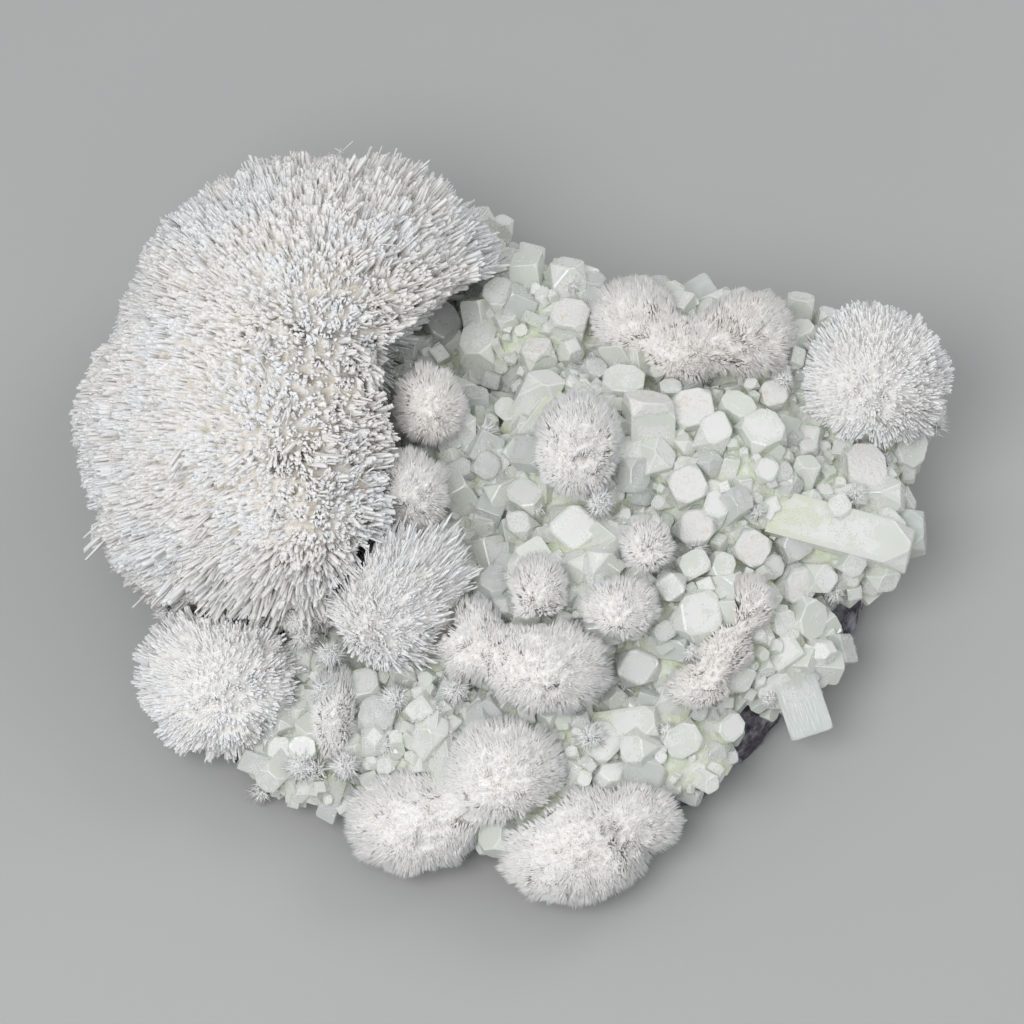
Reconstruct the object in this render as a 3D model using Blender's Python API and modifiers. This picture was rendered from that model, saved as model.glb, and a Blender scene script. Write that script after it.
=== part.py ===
"""A cabinet specimen of green apophyllite with sprays of mordenite needles, on its basalt matrix.

The specimen lies on the sawn foot of its matrix. +X runs to its right and +Y away from the
viewer, who looks down on its show face. The origin is on the foot, in the middle. The file
works in metres, and its driving dimensions are in millimetres.
"""

import math

import bmesh
import bpy
from mathutils import Matrix, Vector, noise

MM = 0.001

# What touches is kept this far apart.
SEAT_GAP = 0.3
WELD_DISTANCE = 0.1
# The rough surfaces come from one fixed run of noise.
NOISE_SEED = 5
NOISE_STEP = Vector((7.3, 3.1, 5.7))
CUTTER_NOISE_REGION = 5
CRUST_NOISE_REGION = 3

BASALT_COLOUR = (0.17, 0.15, 0.18)
APOPHYLLITE_COLOUR = (0.76, 0.86, 0.77)
WHITE_NEEDLES_COLOUR = (0.86, 0.87, 0.88)
CREAM_NEEDLES_COLOUR = (0.85, 0.81, 0.77)
CREAM_SPRAYS = ("nestled_spray", "upper_ridge_spray", "rim_spray", "slanting_spray")
ROCK_ROUGHNESS, NEEDLES_ROUGHNESS, CRYSTAL_ROUGHNESS = 0.9, 0.6, 0.2
CRYSTAL_CLEARNESS = 0.6

# The triangle counts are those of a surface before its cuts.
MATRIX_THICK = 9.0
MATRIX_VOXEL = 2.6
# How far the broken surface wanders, and over what length.
MATRIX_ROUGHNESS = [(2.2, 15), (1.2, 6)]
MATRIX_TRIANGLES = 840
# The plan of the basalt slab, anticlockwise from its front left corner.
MATRIX_PLAN = [
    (-48, -33), (-36, -39), (-22, -46), (-8, -50), (6, -51), (20, -46), (31, -39),
    (41, -32), (49, -22), (56, -13), (61, -5), (64, 8), (63, 22), (54, 33), (40, 37),
    (22, 41), (8, 47), (0, 59), (-10, 63), (-22, 58), (-42, 50), (-56, 36), (-61, 20),
    (-61, 0), (-58, -20),
]

CRUST_FOOT = 4.0
CRUST_VOXEL = 2.2
CRUST_ROUGHNESS = (1.4, 9)
CRUST_TRIANGLES = 700
# The humps of the apophyllite crust are lobes: middle, half width, half depth, reach up and down.
CRUST_LOBES = [
    (7, 37, 19, 15, 14, 15, 13), (24, 33, 20, 16, 14, 15, 13), (42, 31, 20, 16, 14, 14, 13),
    (58, 25, 17, 15.5, 15, 12, 11), (14, 14, 14, 20, 22, 22, 8), (34, 10, 14, 22, 22, 21, 8),
    (54, 4, 15, 15.5, 14, 12.5, 9), (12, -10, 12, 20, 18, 19, 6), (30, -14, 12, 20, 17, 17, 6),
    (44, -17, 11, 12, 12, 10, 6), (24, -33, 9, 14, 13, 9, 4), (4, -36, 9, 16, 14, 11, 4),
    (2, -45, 8, 16, 9, 7, 4), (-10, -14, 10, 17, 18, 16, 5), (-16, -31, 9, 17, 15, 10, 4),
    (-30, -35, 7, 15, 11, 6, 3), (-30, -22, 8, 12, 12, 8, 4), (-10, 12, 12, 15, 18, 18, 6),
    (-14, 32, 10, 12, 16, 15, 5), (-5, 54, 10, 9, 11, 11, 6),
]

# The steep faces at the end of an apophyllite crystal lean this far from its flat end.
CORNER_FACE_ANGLE = math.radians(60)
# How blunt a crystal's end is: 1 leaves its corners whole, and 0 brings them to a point.
PLAIN, BLUNT = 0.65, 0.85
# The largest crystals: middle of the end, width, length, the way it points, turn in degrees.
CRYSTALS = [
    (-12, 41, 24, 7.5, 9, 0.3, -0.1, 1, 45, BLUNT),
    (-6, 34, 29.5, 7.5, 12, -0.3, 0.2, 1, 20, BLUNT),
    (4, 29.5, 33.5, 5.5, 12, -0.1, 0.3, 1, 10, PLAIN),
    (10, 35, 35.5, 6.5, 10, 0.1, 0.1, 1, 30, BLUNT),
    (6, 22.5, 34.5, 6.5, 12, 0.5, 0.5, 1, 30, PLAIN),
    (19, 21, 36.8, 7, 9, 0.1, 0.2, 1, 20, BLUNT),
    (23, 15.5, 38.5, 8.5, 14, 0, 0.25, 1, 35, BLUNT),
    (30.5, 15, 37, 7, 9, -0.1, -0.2, 1, 35, BLUNT),
    (34.5, 11, 37, 6.5, 9, 0.2, -0.1, 1, 10, PLAIN),
    (9.5, 45.5, 35, 6, 10, 0.1, 0.9, 1, 20, PLAIN),
    (10.5, -5, 31, 8.5, 8, 0, -0.5, 1, 0, PLAIN),
    (2, 2.5, 30, 6, 9, -0.3, 0.1, 1, 70, BLUNT),
    (29.5, 1, 35, 6, 9, 0, -0.4, 1, 25, BLUNT),
    (31, -5, 31.5, 7.2, 10, 0, -0.5, 1, 45, PLAIN),
    (44.8, 21, 32, 5.6, 8, 0.1, -0.4, 1, 45, PLAIN),
    (38.5, 17, 35, 6, 8, 0.1, 0.1, 1, 15, BLUNT),
    (42.5, 12, 35.5, 6.8, 9, 0.2, 0, 1, 30, BLUNT),
    (60.5, 9, 28, 8, 9, 0.3, -0.1, 1, 25, BLUNT),
    (69, 16, 22.5, 7, 9, 0.6, -0.2, 0.8, 10, BLUNT),
    (61, -6.5, 22.5, 7.6, 21, 0.9, -0.25, -0.35, 30, BLUNT),
    (64.5, -1, 25, 6.5, 9, 0.5, -0.2, 0.8, 30, PLAIN),
    (70.5, 0.5, 19.5, 7, 11, 0.95, -0.1, 0.3, 15, BLUNT),
    (48.5, -5.5, 26, 5.6, 7, 0.3, -0.5, 0.8, 5, BLUNT),
    (41, -7, 28.5, 7.4, 9, 0.2, -0.55, 0.8, 40, BLUNT),
    (49, -11.5, 22.5, 6.8, 9, 0.4, -0.5, 0.75, 20, PLAIN),
    (55.5, -7.5, 26, 5.8, 9, 0.4, -0.5, 0.75, 60, PLAIN),
    (51, -17, 20.5, 6.8, 9, 0.6, -0.4, 0.7, 15, BLUNT),
    (52, -30, 9.5, 7, 14, 0.4, -0.65, -0.65, 20, BLUNT),
    (31.5, -20.5, 29.5, 9.5, 9, 0.1, -0.55, 0.85, 45, BLUNT),
    (21, -27, 22.5, 7.7, 9, -0.1, -0.8, 0.55, 20, BLUNT),
    (44.8, -28, 15.5, 6.3, 8, 0.2, -0.8, 0.55, 30, BLUNT),
    (38.5, -28.5, 20.5, 5.4, 8, 0.3, -0.7, 0.65, 10, PLAIN),
    (24.5, -35, 18, 5.2, 11, 0.95, 0, 0.3, 10, BLUNT),
    (21.5, -44, 15, 8.2, 9, -0.1, -0.7, 0.7, 35, PLAIN),
    (28.5, -38.5, 18, 6.2, 8, 0.1, -0.5, 0.85, 20, BLUNT),
    (15, -38.5, 18, 6.5, 8, 0.2, -0.3, 0.9, 15, BLUNT),
    (-22.5, -34, 19.5, 6, 9, -0.1, -0.2, 1, 10, BLUNT),
    (-25, -28, 19.5, 5.6, 8, -0.2, 0.1, 1, 35, BLUNT),
    (-37, -38, 13, 5.4, 7, -0.2, -0.4, 0.9, 20, BLUNT),
    (-6, 66, 20.5, 4.2, 9, -0.2, 0.5, 0.8, 10, PLAIN),
    (-1.5, 65.5, 18.5, 3.8, 8, 0.2, 0.4, 0.9, 30, PLAIN),
]

# The sprays of needles are lobes of the same form.
SPRAYS = {
    "great_spray": [
        (-34, 35, 22, 34, 34, 34, 20),
        (-41, 17.5, 22, 33.5, 29, 33.5, 20),
        (-42, 8, 21, 30, 26, 29, 19),
        (-34, -4, 36, 14, 14, 14, 16),
    ],
    "left_spray": [(-49, -24, 12, 14, 13.5, 14, 11)],
    "nestled_spray": [(-36, -15, 20, 4.6, 4.6, 4.6, 5)],
    "upper_ridge_spray": [(-14, 16, 36, 6.5, 7, 7, 8)],
    "lower_ridge_spray": [(-17, 0, 34, 6.5, 7.7, 7.7, 9)],
    "fan_spray": [(-19, -14.5, 26, 11.5, 13, 12, 12)],
    "middle_spray": [(6, -28.5, 26, 11, 8.3, 8.3, 9), (-7, -22.5, 24, 6.7, 7.5, 7.5, 8)],
    "front_spray": [(-1, -44, 18, 10.3, 9.3, 9.3, 11), (-16.5, -49, 9, 12, 9.2, 9.2, 8)],
    "foot_spray": [(10, -54, 10, 13, 10.3, 10.3, 9), (20, -50, 12, 8.5, 6.5, 6.5, 7)],
    "bank_spray": [(-29.5, -31.5, 14, 4.5, 9, 9, 7)],
    "rim_spray": [
        (20.5, 33.5, 36, 7.7, 7.2, 7.2, 8),
        (29, 27, 36, 6.5, 6.1, 6.1, 7),
        (40.3, 30, 36, 8.5, 8, 8, 9),
    ],
    "corner_spray": [(62, 25, 30, 12.5, 12.5, 12.5, 12)],
    "centre_spray": [(11, 7, 38, 7.5, 9.4, 9, 9)],
    "slope_spray": [(22.5, -10.5, 35, 4.8, 4.8, 4.8, 6)],
    "shelf_spray": [(18, -20.5, 31.5, 6.6, 5.5, 5.5, 6)],
    "bead_spray": [(4.5, -17.5, 32, 5, 6.2, 6, 7)],
    "slanting_spray": [
        (40, -17.5, 27, 3.9, 5.3, 5.3, 6),
        (35.5, -25, 25, 5, 4.6, 4.6, 6),
        (31, -30.5, 22.5, 5.8, 3.8, 3.8, 5),
    ],
}
# These are shares of a spray's smallest half width.
SPRAY_VOXEL_SHARE = 0.14
SPRAY_ROUGH_SHARE = 0.1
SPRAY_GRAIN_SHARE = 0.5
SPRAY_TRIANGLES_BY_AREA = 0.92
SPRAY_TRIANGLES_LEAST = 110
# The great spray breaks off beside the crust along this line, seen from the show side.
BREAK_LINE = [
    (6, 62), (0.5, 49), (-12.5, 41), (-22, 32), (-23, 21), (-21, 11), (-21, -3), (-24, -8.5),
    (-28, -15.5), (-31, -24),
]
BREAK_FAR_SIDE = [(0, -60), (60, -60), (60, 62)]
BREAK_HEIGHT = 30.0
BREAK_WAY = Vector((0, -0.577, 1))
BREAK_REACH = 45.0
BREAK_VOXEL = 2.6
BREAK_ROUGHNESS = (2.5, 14)
BREAK_TRIANGLES = 1600


def clear_scene():
    for obj in list(bpy.data.objects):
        bpy.data.objects.remove(obj)


def new_collection(name):
    made = bpy.data.collections.new(name)
    bpy.context.scene.collection.children.link(made)
    return made


def place(mesh, name, collection):
    obj = bpy.data.objects.new(name, mesh)
    collection.objects.link(obj)
    return obj


def as_helper(obj):
    """Marks a cutter or a joining piece, which isn't part of the specimen."""
    obj.hide_render = True
    obj.display_type = "WIRE"
    return obj


def finish(obj, colour, roughness, clearness=0.0):
    """Gives a piece a material of its own."""
    material = bpy.data.materials.new(obj.name)
    material.use_nodes = True
    shader = material.node_tree.nodes["Principled BSDF"]
    shader.inputs["Base Color"].default_value = (*colour, 1)
    shader.inputs["Roughness"].default_value = roughness
    shader.inputs["Metallic"].default_value = 0
    shader.inputs["Transmission Weight"].default_value = clearness
    obj.data.materials.clear()
    obj.data.materials.append(material)


def evaluated_mesh(obj):
    bpy.context.view_layer.update()
    graph = bpy.context.evaluated_depsgraph_get()
    return bpy.data.meshes.new_from_object(obj.evaluated_get(graph))


def settle(obj):
    """Gives an object the mesh that its modifiers make, and drops the modifiers."""
    mesh = evaluated_mesh(obj)
    obj.modifiers.clear()
    obj.data = mesh


def body_of(start, left):
    """Takes from left every vertex that is joined to start."""
    body = [start]
    left.discard(start)
    for vert in body:
        for edge in vert.link_edges:
            other = edge.other_vert(vert)
            if other in left:
                left.discard(other)
                body.append(other)
    return body


def keep_largest(obj):
    """Drops the chips that a cut leaves loose, so that the piece stays one body."""
    work = bmesh.new()
    work.from_mesh(obj.data)
    left = set(work.verts)
    bodies = []
    while left:
        bodies.append(body_of(next(iter(left)), left))
    bodies.sort(key=len)
    for body in bodies[:-1]:
        bmesh.ops.delete(work, geom=body, context="VERTS")
    work.to_mesh(obj.data)
    work.free()


def cut_flat(obj, height):
    """Takes away all that is lower than a height in millimetres, and closes the cut."""
    work = bmesh.new()
    work.from_mesh(obj.data)
    everything = work.verts[:] + work.edges[:] + work.faces[:]
    bmesh.ops.bisect_plane(
        work,
        geom=everything,
        plane_co=Vector((0, 0, height * MM)),
        plane_no=(0, 0, -1),
        clear_outer=True,
    )
    bmesh.ops.holes_fill(work, edges=[edge for edge in work.edges if edge.is_boundary])
    bmesh.ops.recalc_face_normals(work, faces=work.faces)
    work.to_mesh(obj.data)
    work.free()


def roughen(obj, amount, grain, region):
    """Moves each vertex by a smooth noise, read from its own region: the sizes are in millimetres."""
    for vert in obj.data.vertices:
        at = vert.co / (grain * MM) + NOISE_STEP * region
        vert.co += noise.noise_vector(at) * amount * MM


def reduce_to(obj, triangles):
    obj.data.calc_loop_triangles()
    share = triangles / len(obj.data.loop_triangles)
    if share < 1:
        modifier = obj.modifiers.new("reduce", "DECIMATE")
        modifier.ratio = share
        settle(obj)


def remesh(obj, voxel):
    modifier = obj.modifiers.new("remesh", "REMESH")
    modifier.mode = "VOXEL"
    modifier.voxel_size = voxel * MM
    settle(obj)


def combine(obj, operation, other):
    """Cuts or joins obj with another object."""
    modifier = obj.modifiers.new(operation.lower(), "BOOLEAN")
    modifier.operation = operation
    modifier.solver = "EXACT"
    modifier.object = other
    settle(obj)


def boxes_meet(one, other):
    """Whether the boxes that hold two objects overlap."""
    for axis in range(3):
        mine = [vert.co[axis] for vert in one.data.vertices]
        its = [vert.co[axis] for vert in other.data.vertices]
        if max(mine) < min(its) or min(mine) > max(its):
            return False
    return True


def inflated(obj, collection):
    """A cutter with the shape of obj, larger all round by the seat gap."""
    mesh = obj.data.copy()
    outward = [entry.vector.copy() for entry in mesh.vertex_normals]
    for vert, normal in zip(mesh.vertices, outward):
        vert.co += normal * SEAT_GAP * MM
    return as_helper(place(mesh, obj.name + "_seat", collection))


def grown_mass(name, lobes, voxel, collection):
    """Rounded lobes grown into one another."""
    work = bmesh.new()
    for x, y, z, half_x, half_y, up, down in lobes:
        ball = bmesh.ops.create_icosphere(work, subdivisions=4, radius=1)["verts"]
        for vert in ball:
            reach = up if vert.co.z > 0 else down
            vert.co = Vector((x + vert.co.x * half_x, y + vert.co.y * half_y, z + vert.co.z * reach))
            vert.co *= MM
    mesh = bpy.data.meshes.new(name)
    work.to_mesh(mesh)
    work.free()
    mass = place(mesh, name, collection)
    remesh(mass, voxel)
    return mass


def prism_on_plan(name, plan, height, collection):
    """An upright prism on a plan in millimetres, from minus height to plus height."""
    curve = bpy.data.curves.new(name, "CURVE")
    curve.dimensions = "2D"
    curve.fill_mode = "BOTH"
    curve.extrude = height * MM
    line = curve.splines.new("POLY")
    line.points.add(len(plan) - 1)
    line.use_cyclic_u = True
    for point, (x, y) in zip(line.points, plan):
        point.co = (x * MM, y * MM, 0, 1)
    outline = place(curve, name + "_outline", collection)
    mesh = evaluated_mesh(outline)
    bpy.data.objects.remove(outline)
    work = bmesh.new()
    work.from_mesh(mesh)
    bmesh.ops.remove_doubles(work, verts=work.verts, dist=WELD_DISTANCE * MM)
    bmesh.ops.recalc_face_normals(work, faces=work.faces)
    work.to_mesh(mesh)
    work.free()
    return place(mesh, name, collection)


def basalt_matrix(specimen):
    """The slab that it all grew on: a rough broken edge, and a foot that is sawn flat."""
    slab = prism_on_plan("basalt_matrix", MATRIX_PLAN, MATRIX_THICK, specimen)
    remesh(slab, MATRIX_VOXEL)
    for region, (amount, grain) in enumerate(MATRIX_ROUGHNESS):
        roughen(slab, amount, grain, region)
    reduce_to(slab, MATRIX_TRIANGLES)
    cut_flat(slab, 0)
    return slab


def crystal(index, row, collection):
    """One apophyllite crystal: a square prism whose four end corners are cut off steeply."""
    x, y, z, width, length, way_x, way_y, way_z, turn, blunt = row
    half = width / 2
    work = bmesh.new()
    bmesh.ops.create_cube(work, size=1)
    bmesh.ops.scale(work, vec=(width, width, length), verts=work.verts)
    bmesh.ops.translate(work, vec=(0, 0, -length / 2), verts=work.verts)
    for quarter in range(4):
        way = math.radians(45 + 90 * quarter)
        out = Vector((math.cos(way), math.sin(way), 0))
        normal = out * math.sin(CORNER_FACE_ANGLE)
        normal.z = math.cos(CORNER_FACE_ANGLE)
        bmesh.ops.bisect_plane(
            work,
            geom=work.verts[:] + work.edges[:] + work.faces[:],
            plane_co=out * half * blunt,
            plane_no=normal,
            clear_outer=True,
        )
        bmesh.ops.holes_fill(work, edges=[edge for edge in work.edges if edge.is_boundary])
    bmesh.ops.recalc_face_normals(work, faces=work.faces)
    axis = Vector((way_x, way_y, way_z)).normalized()
    stand = axis.to_track_quat("Z", "Y").to_matrix().to_4x4()
    spin = Matrix.Rotation(math.radians(turn), 4, "Z")
    move = Matrix.Translation(Vector((x, y, z)) * MM)
    bmesh.ops.transform(work, matrix=move @ stand @ spin @ Matrix.Scale(MM, 4), verts=work.verts)
    name = f"crystal_{index}"
    mesh = bpy.data.meshes.new(name)
    work.to_mesh(mesh)
    work.free()
    return as_helper(place(mesh, name, collection))


def crust_bed(specimen):
    """The bed of the apophyllite crust: its humps, grown into one another."""
    bed = grown_mass("apophyllite_crust", CRUST_LOBES, CRUST_VOXEL, specimen)
    roughen(bed, *CRUST_ROUGHNESS, CRUST_NOISE_REGION)
    reduce_to(bed, CRUST_TRIANGLES)
    cut_flat(bed, CRUST_FOOT)
    return bed


def spray(name, lobes, specimen):
    """A spray of needles as far as its tips, which the cuts seat among its neighbours."""
    size = min(lobe[3] for lobe in lobes)
    mass = grown_mass(name, lobes, size * SPRAY_VOXEL_SHARE, specimen)
    roughen(mass, size * SPRAY_ROUGH_SHARE, size * SPRAY_GRAIN_SHARE, len(name))
    area = sum(face.area for face in mass.data.polygons) / MM**2
    reduce_to(mass, max(SPRAY_TRIANGLES_LEAST, area**0.7 * SPRAY_TRIANGLES_BY_AREA))
    return mass


def break_cutter(cutters):
    """What is missing from the great spray beside the crust."""
    plan = [*BREAK_LINE, *BREAK_FAR_SIDE]
    cutter = prism_on_plan("great_spray_break", plan, BREAK_REACH, cutters)
    for vert in cutter.data.vertices:
        along = BREAK_WAY * vert.co.z
        vert.co.z = BREAK_HEIGHT * MM
        vert.co += along
    remesh(cutter, BREAK_VOXEL)
    roughen(cutter, *BREAK_ROUGHNESS, CUTTER_NOISE_REGION)
    reduce_to(cutter, BREAK_TRIANGLES)
    return as_helper(cutter)


def seated_sprays(specimen, cutters, seats):
    """Makes the sprays one after another, each seated on the matrix and on those before it."""
    for name, lobes in SPRAYS.items():
        mass = spray(name, lobes, specimen)
        if name == "great_spray":
            combine(mass, "DIFFERENCE", break_cutter(cutters))
        seat = inflated(mass, cutters)
        for earlier in seats:
            if boxes_meet(mass, earlier):
                combine(mass, "DIFFERENCE", earlier)
        keep_largest(mass)
        colour = CREAM_NEEDLES_COLOUR if name in CREAM_SPRAYS else WHITE_NEEDLES_COLOUR
        finish(mass, colour, NEEDLES_ROUGHNESS)
        seats.append(seat)


def apophyllite_crust(specimen, cutters, seats):
    """The crust with its largest crystals, grown together in one piece round all the sprays."""
    crust = crust_bed(specimen)
    for index, row in enumerate(CRYSTALS):
        combine(crust, "UNION", crystal(index, row, cutters))
    for seat in seats:
        combine(crust, "DIFFERENCE", seat)
    keep_largest(crust)
    finish(crust, APOPHYLLITE_COLOUR, CRYSTAL_ROUGHNESS, CRYSTAL_CLEARNESS)


def main():
    clear_scene()
    noise.seed_set(NOISE_SEED)
    specimen = new_collection("apophyllite_with_mordenite")
    cutters = new_collection("cutters")
    cutters.hide_render = True
    matrix = basalt_matrix(specimen)
    finish(matrix, BASALT_COLOUR, ROCK_ROUGHNESS)
    seats = [inflated(matrix, cutters)]
    seated_sprays(specimen, cutters, seats)
    apophyllite_crust(specimen, cutters, seats)


main()
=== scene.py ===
"""A cabinet specimen of green apophyllite with sprays of mordenite needles, on its basalt matrix.

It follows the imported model: +X runs to the specimen's right and +Y away from the viewer, in
metres. Sizes and places are written in millimetres and multiplied by MM where they are used.
"""

import math

import bmesh
import bpy
import numpy as np
from mathutils import Matrix, Vector, noise
from mathutils.bvhtree import BVHTree
from mathutils.kdtree import KDTree


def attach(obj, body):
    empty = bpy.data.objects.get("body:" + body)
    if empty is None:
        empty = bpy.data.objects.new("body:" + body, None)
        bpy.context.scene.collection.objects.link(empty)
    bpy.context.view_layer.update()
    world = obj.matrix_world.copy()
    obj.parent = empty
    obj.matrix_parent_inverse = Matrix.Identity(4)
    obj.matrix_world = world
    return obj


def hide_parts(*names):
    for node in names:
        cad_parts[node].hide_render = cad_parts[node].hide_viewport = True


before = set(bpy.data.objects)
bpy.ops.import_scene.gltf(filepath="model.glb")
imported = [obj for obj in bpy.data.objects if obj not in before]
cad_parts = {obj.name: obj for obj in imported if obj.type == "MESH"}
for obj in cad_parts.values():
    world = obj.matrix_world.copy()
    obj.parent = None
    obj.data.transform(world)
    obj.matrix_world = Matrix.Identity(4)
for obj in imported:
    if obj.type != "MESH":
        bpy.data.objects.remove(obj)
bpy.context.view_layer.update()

MM = 0.001
noise.seed_set(11)


# Basalt matrix.
# A thick slab of dark volcanic rock with a grey violet skin of fine druse. It broke loose from
# the wall of its cavity, and its foot was sawn flat.

MATRIX_VOXEL = 1.3
# How far the broken rock wanders, over what length, and the part of the noise it is read from.
MATRIX_RELIEF = [(0.9, 5.0, 1), (0.45, 1.7, 2), (0.2, 0.7, 3)]
FOOT_BAND = 1.0
NOISE_STEP = Vector((7.3, 3.1, 5.7))
ROCK_DARK, ROCK_PALE = (0.035, 0.03, 0.04), (0.16, 0.145, 0.17)
ROCK_SKIN = (0.42, 0.40, 0.46)


class Shade:
    """A socket of a material's nodes. Operators on it add the Math nodes that they stand for."""

    def __init__(self, tree, socket):
        self.tree = tree
        self.socket = socket

    def node(self, kind, settings, inputs, output=0):
        """Adds a node: first its settings, then the values or links of its sockets."""
        made = self.tree.nodes.new(kind)
        for name, value in settings.items():
            if name == "stops":
                for element, (position, colour) in zip(stops_for(made, len(value)), value):
                    element.position = position
                    element.color = (*colour, 1)
            else:
                setattr(made, name, value)
        for name, value in inputs.items():
            if isinstance(value, Shade):
                self.tree.links.new(value.socket, made.inputs[name])
            else:
                made.inputs[name].default_value = value
        return Shade(self.tree, made.outputs[output])

    def math(self, operation, *values):
        return self.node("ShaderNodeMath", {"operation": operation}, dict(enumerate(values)))

    def __add__(self, other):
        return self.math("ADD", self, other)

    def __sub__(self, other):
        return self.math("SUBTRACT", self, other)

    def __rsub__(self, other):
        return self.math("SUBTRACT", other, self)

    def __mul__(self, other):
        return self.math("MULTIPLY", self, other)

    def __pow__(self, other):
        return self.math("POWER", self, other)

    __radd__ = __add__
    __rmul__ = __mul__

    def mask(self, low, high):
        """0 below low, 1 above high, and smooth in between."""
        settings = {"interpolation_type": "SMOOTHSTEP"}
        limits = {"Value": self, "From Min": low, "From Max": high}
        return self.node("ShaderNodeMapRange", settings, limits)

    def blend(self, below, above):
        """Goes from one colour to another as this value goes from 0 to 1."""
        settings = {"data_type": "RGBA"}
        colours = [value if isinstance(value, Shade) else (*value, 1) for value in (below, above)]
        sockets = {"Factor": self, "A": colours[0], "B": colours[1]}
        return self.mix_of_colours(settings, sockets)

    def mix_of_colours(self, settings, sockets):
        made = self.tree.nodes.new("ShaderNodeMix")
        for name, value in settings.items():
            setattr(made, name, value)
        by_name = {"Factor": made.inputs[0], "A": made.inputs[6], "B": made.inputs[7]}
        for name, value in sockets.items():
            if isinstance(value, Shade):
                self.tree.links.new(value.socket, by_name[name])
            else:
                by_name[name].default_value = value
        return Shade(self.tree, made.outputs[2])


def new_finish(name, roughness, **constants):
    """A material, its Principled shader and the place on the surface in metres."""
    material = bpy.data.materials.new(name)
    material.use_nodes = True
    tree = material.node_tree
    shader = tree.nodes["Principled BSDF"]
    shader.inputs["Roughness"].default_value = roughness
    for socket, value in constants.items():
        shader.inputs[socket.replace("_", " ")].default_value = value
    start = Shade(tree, None)
    place = start.node("ShaderNodeTexCoord", {}, {}, "Object")
    return material, shader, place


def feed(shader, name, shade):
    shade.tree.links.new(shade.socket, shader.inputs[name])


def grain(place, size, detail=2.0, roughness=0.5):
    """Smooth noise with spots of that size in millimetres, mostly from 0.3 to 0.7."""
    values = {"Vector": place, "Scale": 1 / (size * MM), "Detail": detail, "Roughness": roughness}
    return place.node("ShaderNodeTexNoise", {}, values)


def bumps(shader, height, depth):
    """Raises the surface by height times depth in millimetres."""
    values = {"Height": height, "Distance": depth * MM, "Strength": 1.0}
    feed(shader, "Normal", height.node("ShaderNodeBump", {}, values))


def mesh_from(name, points, *face_sets):
    """A mesh of points in metres and arrays of faces, where an array's faces have one size."""
    mesh = bpy.data.meshes.new(name)
    mesh.vertices.add(len(points))
    mesh.vertices.foreach_set("co", np.asarray(points, np.float32).ravel())
    corners = np.concatenate([faces.ravel() for faces in face_sets])
    sizes = np.concatenate([np.full(len(faces), faces.shape[1]) for faces in face_sets])
    mesh.loops.add(len(corners))
    mesh.loops.foreach_set("vertex_index", corners.astype(np.int32))
    mesh.polygons.add(len(sizes))
    mesh.polygons.foreach_set("loop_start", (np.cumsum(sizes) - sizes).astype(np.int32))
    mesh.update(calc_edges=True)
    return mesh


def put_down(name, mesh, material, slot, *nodes):
    """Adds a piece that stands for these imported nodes."""
    piece = bpy.data.objects.new(name, mesh)
    bpy.context.scene.collection.objects.link(piece)
    mesh.materials.clear()
    mesh.materials.append(material)
    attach(piece, "root")
    if nodes:
        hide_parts(*nodes)
    return piece


def evaluated_mesh(piece):
    bpy.context.view_layer.update()
    graph = bpy.context.evaluated_depsgraph_get()
    return bpy.data.meshes.new_from_object(piece.evaluated_get(graph))


def remeshed(mesh, voxel):
    """The same body with even, small faces, from voxels of that size in millimetres."""
    helper = bpy.data.objects.new("helper", mesh)
    bpy.context.scene.collection.objects.link(helper)
    modifier = helper.modifiers.new("remesh", "REMESH")
    modifier.mode = "VOXEL"
    modifier.voxel_size = voxel * MM
    made = evaluated_mesh(helper)
    bpy.data.objects.remove(helper)
    return made


def points_of(mesh):
    points = np.empty(len(mesh.vertices) * 3, np.float32)
    mesh.vertices.foreach_get("co", points)
    return points.reshape(-1, 3).astype(float)


def triangles_of(mesh):
    mesh.calc_loop_triangles()
    corners = np.empty(len(mesh.loop_triangles) * 3, np.int32)
    mesh.loop_triangles.foreach_get("vertices", corners)
    return corners.reshape(-1, 3)


def wear_relief(mesh, relief, floor=-1.0):
    """Moves each vertex along its normal by noise, except near a flat foot at a height of 0."""
    outward = [entry.vector.copy() for entry in mesh.vertex_normals]
    for vertex, normal in zip(mesh.vertices, outward):
        if vertex.co.z < floor * MM:
            continue
        rise = 0.0
        for amount, size, part in relief:
            rise += amount * noise.noise(vertex.co / (size * MM) + NOISE_STEP * part)
        vertex.co += normal * rise * MM
    mesh.update()


matrix_mesh = remeshed(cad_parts["basalt_matrix"].data.copy(), MATRIX_VOXEL)
wear_relief(matrix_mesh, MATRIX_RELIEF, FOOT_BAND)
matrix_finish, shader, place = new_finish("violet_grey_basalt", 0.85)
skin = grain(place, 5.0, 6.0, 0.65).mask(0.42, 0.62)
rock = grain(place, 2.2, 8.0, 0.7).mask(0.35, 0.7).blend(ROCK_DARK, ROCK_PALE)
feed(shader, "Base Color", skin.blend(rock, ROCK_SKIN))
feed(shader, "Roughness", 0.9 - skin * 0.35)
bumps(shader, grain(place, 0.9, 8.0, 0.75), 0.5)
put_down("basalt_matrix_rock", matrix_mesh, matrix_finish, "basalt", "basalt_matrix")


# Apophyllite crust.
# Pale green apophyllite grew over the rock as rounded humps, which fine crystals cover all over.
# The humps are one mass, which the sprays grew into and over.

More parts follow.
